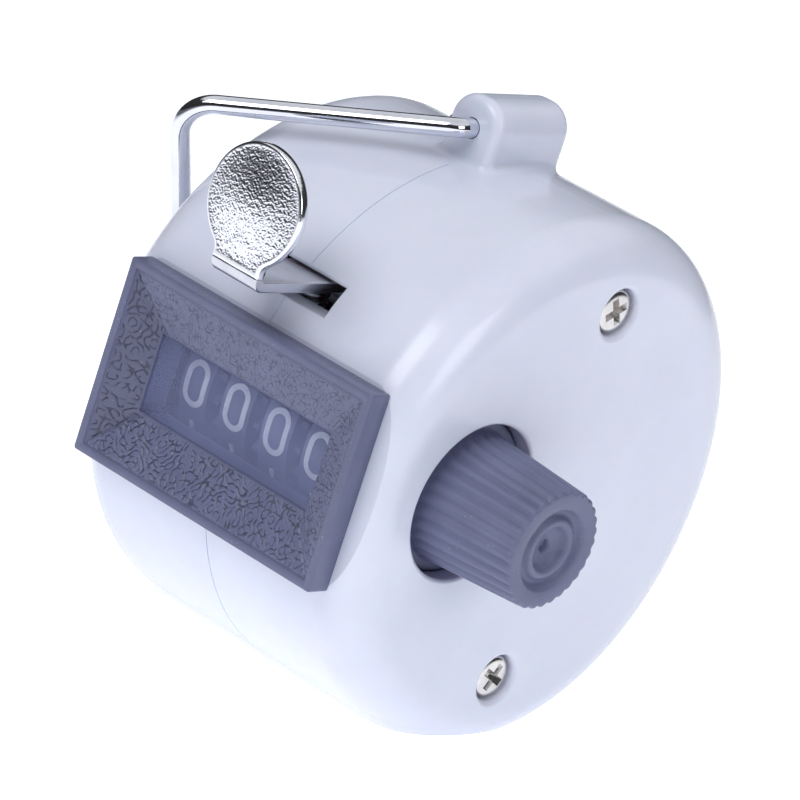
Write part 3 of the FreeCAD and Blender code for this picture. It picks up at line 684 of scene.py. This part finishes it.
def screw_head_mesh(name, centre_y, centre_z, seat_x, turn):
    """A domed screw head with a tapering cross recess, facing +X."""
    dome_start, dome_end = seat_x + 0.75, seat_x + 1.06
    rows = [(seat_x, 0.9), (seat_x, SCREW_R - 0.05), (seat_x + 0.06, SCREW_R), (dome_start, SCREW_R)]
    for k in range(9):
        a = math.radians(90 * k / 8)
        rows.append((lerp(dome_start, dome_end, math.sin(a) ** 0.9), max(0.0, SCREW_R * math.cos(a) ** 0.4)))
    around = 64
    verts = []
    for x, r in rows:
        for k in range(around):
            a = 2 * math.pi * k / around
            verts.append((x, centre_y + r * math.cos(a), centre_z + r * math.sin(a)))
    faces = ring_faces(len(rows), around) + [tuple(range(around))]
    head = make_object(name, make_mesh(name, verts, faces))
    cutters = []
    for arm in range(2):
        a = turn + arm * math.pi / 2
        u, v = Vector((0, math.cos(a), math.sin(a))), Vector((0, -math.sin(a), math.cos(a)))
        origin = Vector((0, centre_y, centre_z))
        corners = []
        for x, length, width in ((seat_x + 0.25, 0.5, 0.12), (seat_x + 1.4, 1.38, 0.40)):
            for s, t in ((-1, -1), (1, -1), (1, 1), (-1, 1)):
                corners.append(origin + Vector((x, 0, 0)) + u * s * length + v * t * width)
        block = [(3, 2, 1, 0), (4, 5, 6, 7), (0, 1, 5, 4), (1, 2, 6, 5), (2, 3, 7, 6), (3, 0, 4, 7)]
        cutters.append(make_object(name + "_cutter", make_mesh(name + "_cutter", corners, block)))
    for cutter in cutters:
        cut = head.modifiers.new("cross", "BOOLEAN")
        cut.operation, cut.solver, cut.object = "DIFFERENCE", "EXACT", cutter
    bpy.context.view_layer.update()
    mesh = bpy.data.meshes.new_from_object(head.evaluated_get(bpy.context.evaluated_depsgraph_get()))
    for obj in cutters + [head]:
        bpy.data.objects.remove(obj)
    mesh.shade_smooth()
    keep_creases(mesh, 32)
    return mesh


def housing_screws(material, shank_material):
    low, high = box_mm("housing_screws")
    seat_x = high.x - 1.1
    centre_y = (low.y + high.y) / 2
    for name, z, turn in (("upper", high.z - SCREW_R, 0.5), ("lower", low.z + SCREW_R, 1.1)):
        mesh = screw_head_mesh("screw_head_" + name, centre_y, z, seat_x, turn)
        piece("screw_head_" + name, mesh, material, "case", ("housing_screws",))
        rows = [(low.x, 0.0), (low.x, 0.4), (low.x + 0.9, 0.82)]
        around, pitch = 24, 0.62
        x = low.x + 0.9
        while x < seat_x - 4.6:
            rows += [(x, 0.80), (x + 0.30, 0.98), (x + 0.36, 0.98), (x + pitch, 0.80)]
            x += pitch
        rows += [(x + 0.3, 0.86), (seat_x, 0.86), (seat_x, 0.0)]
        turns = [2 * math.pi * k / around for k in range(around)]
        verts = [(px, centre_y + r * math.cos(a), z + r * math.sin(a)) for px, r in rows for a in turns]
        mesh = make_mesh("screw_shank_" + name, verts, ring_faces(len(rows), around))
        keep_creases(mesh, 40)
        piece("screw_shank_" + name, mesh, shank_material, "case", ("housing_screws",))


# ================================================================ thumb lever
STRIP = 0.85
PADDLE_R = 4.5
PADDLE_RISE = 5.4           # from the strip's middle up to the paddle's centre
NECK_HALF = 2.3
BEND = 0.62                 # radius of the elbow's centre line
BEND_TOP = 0.60             # the flat front starts here, above the elbow
DOME = 0.40                 # how far the paddle's middle stands out from its rim
STRIP_ABOVE_PIN = 1.5
PADDLE_AHEAD = 3.7          # from the bezel's face to the paddle's front, at the elbow
YOKE_AHEAD = 1.4            # the strip meets the CAD part's yoke this far ahead of the pivot pin


def paddle_distance(x, v):
    """Distance to the paddle's outline in its own plane, negative inside. v is measured up from the elbow."""
    disc = math.hypot(x, v - PADDLE_RISE) - PADDLE_R
    neck = max(abs(x) - NECK_HALF, v - PADDLE_RISE, BEND_TOP - v)
    blend = 0.5
    h = max(blend - abs(disc - neck), 0.0) / blend
    return min(disc, neck) - h * h * blend * 0.25


def pebble(x, v):
    """Fine hammered relief, drawn out a little along one diagonal, from 0 in the pits to 1."""
    p = Vector(((x + v) * 5.0, (x - v) * 7.6, 5.3))
    fine = noise.noise(p) + 0.5 * noise.noise(p * 1.9)
    return min(1.0, max(0.0, 0.58 + 0.65 * fine))


def paddle_mesh(front_y, elbow_z):
    """Front of the paddle as a fine sheet with a rounded rim and a pebbled floor, then its edge and back."""
    step, edge, margin = 0.05, 0.2, 0.3
    columns = int(2 * (PADDLE_R + margin) / step)
    rows = int((PADDLE_RISE + PADDLE_R + 0.4) / step)
    grid, verts, relief = {}, [], []

    def gradient(x, v):
        e = 0.01
        return Vector((paddle_distance(x + e, v) - paddle_distance(x - e, v),
                       paddle_distance(x, v + e) - paddle_distance(x, v - e))).normalized()

    for i in range(columns + 1):
        for j in range(rows + 1):
            grid[i, j] = (-(PADDLE_R + margin) + i * step, 0.1 + j * step)
    inside = {key: paddle_distance(*p) < 0 for key, p in grid.items()}
    index, outline_at = {}, {}
    faces = []
    for i in range(columns):
        for j in range(rows):
            keys = ((i, j), (i + 1, j), (i + 1, j + 1), (i, j + 1))
            if not any(inside[k] for k in keys):
                continue
            corner = []
            for key in keys:
                if key not in index:
                    x, v = grid[key]
                    if not inside[key]:
                        for _ in range(3):
                            d = paddle_distance(x, v)
                            g = gradient(x, v)
                            x, v = x - g.x * d, v - g.y * d
                    d = max(0.0, -paddle_distance(x, v))
                    depth = edge - math.sqrt(max(0.0, edge ** 2 - (edge - d) ** 2)) if d < edge else 0.0
                    field = smoothstep(0.22, 0.42, d) * smoothstep(1.0, 1.3, v)
                    bumps = pebble(x, v)
                    depth += field * (0.05 - 0.055 * bumps)
                    depth -= DOME * smoothstep(0.0, 1.0, d / PADDLE_R) * smoothstep(0.6, 2.5, v)
                    index[key] = len(verts)
                    verts.append((x, front_y + depth, elbow_z + v))
                    relief.append(lerp(1.0, bumps, field))
                    outline_at[index[key]] = (x, v)
                corner.append(index[key])
            faces.append(tuple(corner))
    edges = {}
    for face in faces:
        for a, b in zip(face, face[1:] + face[:1]):
            edges[frozenset((a, b))] = edges.get(frozenset((a, b)), 0) + 1
    back = {}
    for pair, uses in edges.items():
        if uses > 1:
            continue
        a, b = tuple(pair)
        for key in (a, b):
            if key not in back:
                x, v = outline_at[key]
                g = gradient(x, v)
                back[key] = []
                for inset, depth in ((0.0, STRIP - edge), (0.08, STRIP - 0.04), (edge, STRIP), (1.2, STRIP)):
                    back[key].append(len(verts))
                    verts.append((x - g.x * inset, front_y + depth, elbow_z + v - g.y * inset))
                    relief.append(1.0)
        chain_a, chain_b = [a] + back[a], [b] + back[b]
        for k in range(4):
            faces.append((chain_a[k], chain_b[k], chain_b[k + 1], chain_a[k + 1]))
    mesh = make_mesh("lever_paddle", verts, faces, relief)
    bm = bmesh.new()
    bm.from_mesh(mesh)
    bmesh.ops.dissolve_degenerate(bm, dist=1e-7, edges=bm.edges)
    open_edges = [e for e in bm.edges if e.is_boundary]
    bmesh.ops.holes_fill(bm, edges=open_edges, sides=0)
    bmesh.ops.recalc_face_normals(bm, faces=bm.faces)
    bm.to_mesh(mesh)
    bm.free()
    mesh.shade_smooth()
    return mesh


def strip_mesh(name, route, half_w, thick, corner=0.16):
    """A flat strip with rounded edges that follows route, a list of (y, z), bending about X."""
    section = []
    for sx, sn, turn in ((1, 1, 0), (-1, 1, 90), (-1, -1, 180), (1, -1, 270)):
        for k in range(5):
            a = math.radians(turn + 90 * k / 4)
            across = sx * (half_w - corner) + corner * math.cos(a)
            section.append((across, sn * (thick / 2 - corner) + corner * math.sin(a)))
    verts = []
    for k, (y, z) in enumerate(route):
        a, b = route[max(0, k - 1)], route[min(len(route) - 1, k + 1)]
        along = Vector((b[0] - a[0], b[1] - a[1])).normalized()
        normal = Vector((-along.y, along.x))
        for x, n in section:
            verts.append((x, y + normal.x * n, z + normal.y * n))
    n = len(section)
    faces = ring_faces(len(route), n) + [tuple(range(n)), tuple(range(len(verts) - n, len(verts)))]
    mesh = make_mesh(name, verts, faces)
    keep_creases(mesh, 50)
    return mesh


def thumb_lever(paddle_material, arm_material):
    low, high = box_mm("thumb_lever")
    pin_low, pin_high = box_mm("lever_pivot_pin")
    pivot_z = (pin_low.z + pin_high.z) / 2
    strip_z = pivot_z + STRIP_ABOVE_PIN
    elbow_y = box_mm("window_bezel")[0].y - PADDLE_AHEAD
    inner_y = (pin_low.y + pin_high.y) / 2 - YOKE_AHEAD
    route = [(inner_y, strip_z), (elbow_y + 3.0, strip_z)]
    centre = (elbow_y + STRIP / 2 + BEND, strip_z + BEND)
    for k in range(17):
        a = -math.pi / 2 - math.pi / 2 * k / 16
        route.append((centre[0] + BEND * math.cos(a), centre[1] + BEND * math.sin(a)))
    arm = strip_mesh("lever_arm", route, NECK_HALF, STRIP)
    piece("lever_arm", arm, arm_material, "lever", ("thumb_lever",))
    paddle = paddle_mesh(elbow_y, strip_z)
    piece("lever_paddle", paddle, paddle_material, "lever", ("thumb_lever",))
    yoke = frame["nodes"]["thumb_lever"].data.copy()
    bm = bmesh.new()
    bm.from_mesh(yoke)
    cut_y = (inner_y - 0.3) * MM
    bmesh.ops.bisect_plane(bm, geom=bm.verts[:] + bm.edges[:] + bm.faces[:], plane_co=(0, cut_y, 0),
                           plane_no=(0, -1, 0), clear_outer=True)
    bmesh.ops.holes_fill(bm, edges=[e for e in bm.edges if e.is_boundary], sides=0)
    bm.to_mesh(yoke)
    bm.free()
    yoke.name = "lever_yoke"
    piece("lever_yoke", yoke, arm_material, "lever", ("thumb_lever",))


# ================================================================ the scene
bpy.context.scene.view_settings.view_transform = "Standard"
make_camera()
make_world()
make_stage()
area_light("key", (-0.08, -0.68, 0.60), (0, 0, 0.02), (0.55, 0.40), 3.0, (0.97, 0.98, 1.0))
area_light("side", (0.85, -0.10, 0.40), (0, 0, 0.02), (0.40, 0.40), 1.85, (0.97, 0.98, 1.0))

VIOLET_DARK, VIOLET_LIGHT = (0.122, 0.134, 0.232), (0.152, 0.166, 0.280)
bezel_material = violet_plastic("bezel_plastic", VIOLET_DARK, VIOLET_LIGHT, True, 0.36)
knob_material = violet_plastic("knob_plastic", VIOLET_DARK, VIOLET_LIGHT, False, 0.44)
arm_chrome = chrome("chrome_arm", (0.66, 0.67, 0.72), (0.50, 0.51, 0.56), 0.22)
paddle_chrome = chrome("chrome_paddle", (0.93, 0.94, 0.98), (0.82, 0.83, 0.88), 0.12, True)
wire_chrome = chrome("chrome_wire", (0.80, 0.81, 0.86), (0.66, 0.67, 0.74), 0.05)
screw_zinc = chrome("zinc", (0.80, 0.79, 0.78), (0.55, 0.52, 0.50), 0.18)
slot_materials = {
    "white_plastic": white_plastic(),
    "violet_plastic": bezel_material,
    "clear_lens": clear_lens(),
    "zinc_screw": screw_zinc,
    "chrome_lever": arm_chrome,
    "chrome_wire": wire_chrome,
    "frame_steel": steel("frame_steel", (0.62, 0.63, 0.66), (0.42, 0.43, 0.46), (0.08, 1.0, 1.0)),
    "spring_steel": steel("spring_steel", (0.48, 0.49, 0.52), (0.30, 0.31, 0.34), (1.0, 1.0, 0.2)),
    "wheel_plastic": wheel_plastic(),
    "inner_plastic": natural_plastic(),
}
for row in frame["record"]["subparts"]:
    mesh = frame["nodes"][row["node"]].data
    mesh.materials.clear()
    mesh.materials.append(slot_materials[row["material_slot"]])

window_bezel(bezel_material)
ink = white_ink()
for wheel in ("units", "tens", "hundreds", "thousands"):
    numerals(wheel, wheel + "_wheel", ink)
reset_knob(knob_material)
finger_ring(wire_chrome)
return_spring(slot_materials["spring_steel"])
housing_screws(screw_zinc, slot_materials["spring_steel"])
thumb_lever(paddle_chrome, arm_chrome)
